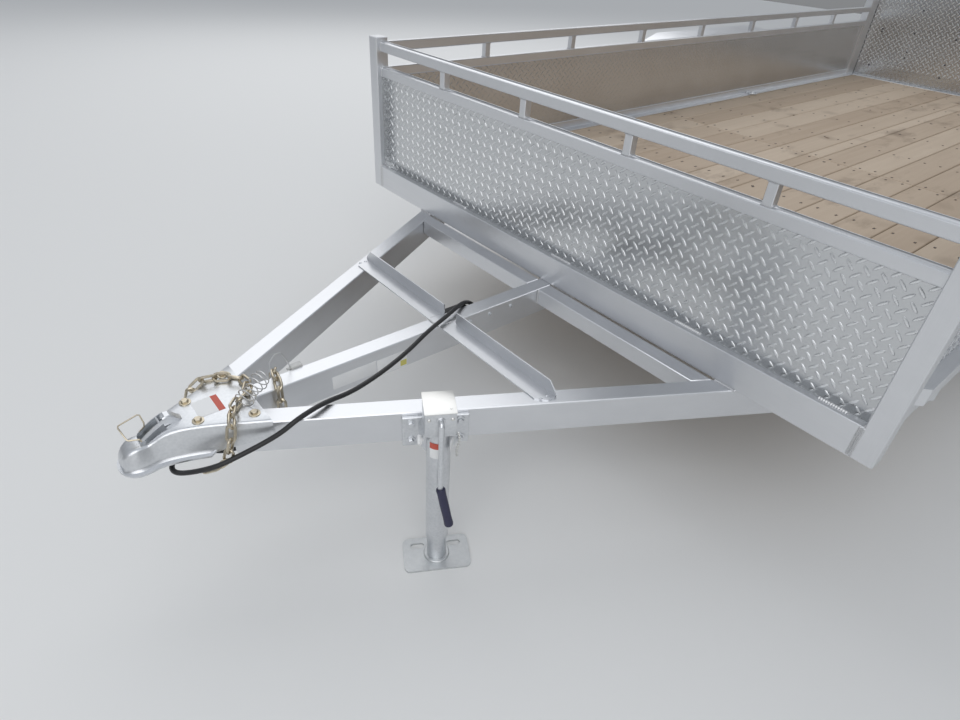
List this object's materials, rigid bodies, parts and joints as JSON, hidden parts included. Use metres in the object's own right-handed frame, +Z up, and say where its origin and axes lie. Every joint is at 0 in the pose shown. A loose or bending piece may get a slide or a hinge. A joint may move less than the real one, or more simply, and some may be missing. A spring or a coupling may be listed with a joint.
{
  "type": "utility trailer",
  "caption": "Open utility trailer with plank deck, tread-plate sides, rails, fold-down ramp gate, A-frame tongue, ball coupler and swivel jack, on sprung wheels.",
  "frame": {"origin": "on the ground under the middle of the trailer's box", "axes": "+X forward to the coupler, +Y to the side that carries the jack, +Z up"},
  "size_m": [5.6592, 2.5908, 1.8936],
  "materials": {
    "frame_aluminium": "mill finish, faintly brushed",
    "tread_plate": "bright rolled with raised lugs",
    "deck_wood": "pressure-treated planks, dry",
    "tyre": "moulded rubber",
    "wheel_silver": "silver paint",
    "black_steel": "black paint",
    "zinc_steel": "zinc plated",
    "black_plastic": "moulded, matt",
    "red_lens": "clear moulded lens",
    "amber_lens": "clear moulded lens"
  },
  "bodies": {
    "chassis": {"axle_front": "black_steel", "axle_rear": "black_steel", "cable_gland": "black_plastic", "cable_plug": "black_plastic", "coupler": "zinc_steel", "coupler_latch": "zinc_steel", "crossmembers": "frame_aluminium", "deck_boards_front": "deck_wood", "deck_boards_rear": "deck_wood", "fender_left": "tread_plate", "fender_right": "tread_plate", "front_beam": "frame_aluminium", "front_panel": "tread_plate", "front_posts": "frame_aluminium", "gate_hinge_leaves": "zinc_steel", "hold_down_angles": "frame_aluminium", "jack_bracket": "zinc_steel", "mid_rails": "frame_aluminium", "rear_beam": "frame_aluminium", "rear_posts": "frame_aluminium", "rub_rails": "frame_aluminium", "side_beams": "frame_aluminium", "side_markers": "amber_lens", "side_panel_left": "tread_plate", "side_panel_right": "tread_plate", "stanchions": "frame_aluminium", "tail_lamps": "red_lens", "tongue_center_rail": "frame_aluminium", "tongue_cross_bar": "frame_aluminium", "tongue_cross_tube": "frame_aluminium", "tongue_rails": "frame_aluminium", "top_rails": "frame_aluminium", "wiring_cable": "black_plastic"},
    "wheel_front_left": {"hub_front_left": "black_steel", "rim_front_left": "wheel_silver", "tyre_front_left": "tyre"},
    "wheel_front_right": {"hub_front_right": "black_steel", "rim_front_right": "wheel_silver", "tyre_front_right": "tyre"},
    "wheel_rear_left": {"hub_rear_left": "black_steel", "rim_rear_left": "wheel_silver", "tyre_rear_left": "tyre"},
    "wheel_rear_right": {"hub_rear_right": "black_steel", "rim_rear_right": "wheel_silver", "tyre_rear_right": "tyre"},
    "gate": {"gate_frame": "frame_aluminium", "gate_hinge_pins": "zinc_steel", "gate_panel": "tread_plate"},
    "jack_swivel": {"jack_crank": "zinc_steel", "jack_head": "zinc_steel", "jack_tube": "zinc_steel"},
    "jack_leg_slide": {"jack_foot": "zinc_steel", "jack_leg": "zinc_steel"}
  },
  "joints": [
    {"name": "wheel_front_left_spin", "type": "hinge", "parent": "chassis", "child": "wheel_front_left", "pos_m": [-0.61355, 1.168, 0.335], "axis": [0, 1, 0], "continuous": true},
    {"name": "wheel_front_right_spin", "type": "hinge", "parent": "chassis", "child": "wheel_front_right", "pos_m": [-0.61355, -1.168, 0.335], "axis": [0, 1, 0], "continuous": true},
    {"name": "wheel_rear_left_spin", "type": "hinge", "parent": "chassis", "child": "wheel_rear_left", "pos_m": [-1.47715, 1.168, 0.335], "axis": [0, 1, 0], "continuous": true},
    {"name": "wheel_rear_right_spin", "type": "hinge", "parent": "chassis", "child": "wheel_rear_right", "pos_m": [-1.47715, -1.168, 0.335], "axis": [0, 1, 0], "continuous": true},
    {"name": "gate_hinge", "type": "hinge", "parent": "chassis", "child": "gate", "pos_m": [-2.81335, 0, 0.507], "axis": [0, -1, 0], "range_deg": [0, 110]},
    {"name": "jack_swivel_turn", "type": "hinge", "parent": "chassis", "child": "jack_swivel", "pos_m": [2.23248, 0.37136, 0.415], "axis": [0.4958, 0.8685, 0], "range_deg": [0, 90]},
    {"name": "jack_leg_screw", "type": "slide", "parent": "jack_swivel", "child": "jack_leg_slide", "axis": [0, 0, 1], "range_m": [-0.2, 0.07]}
  ]
}
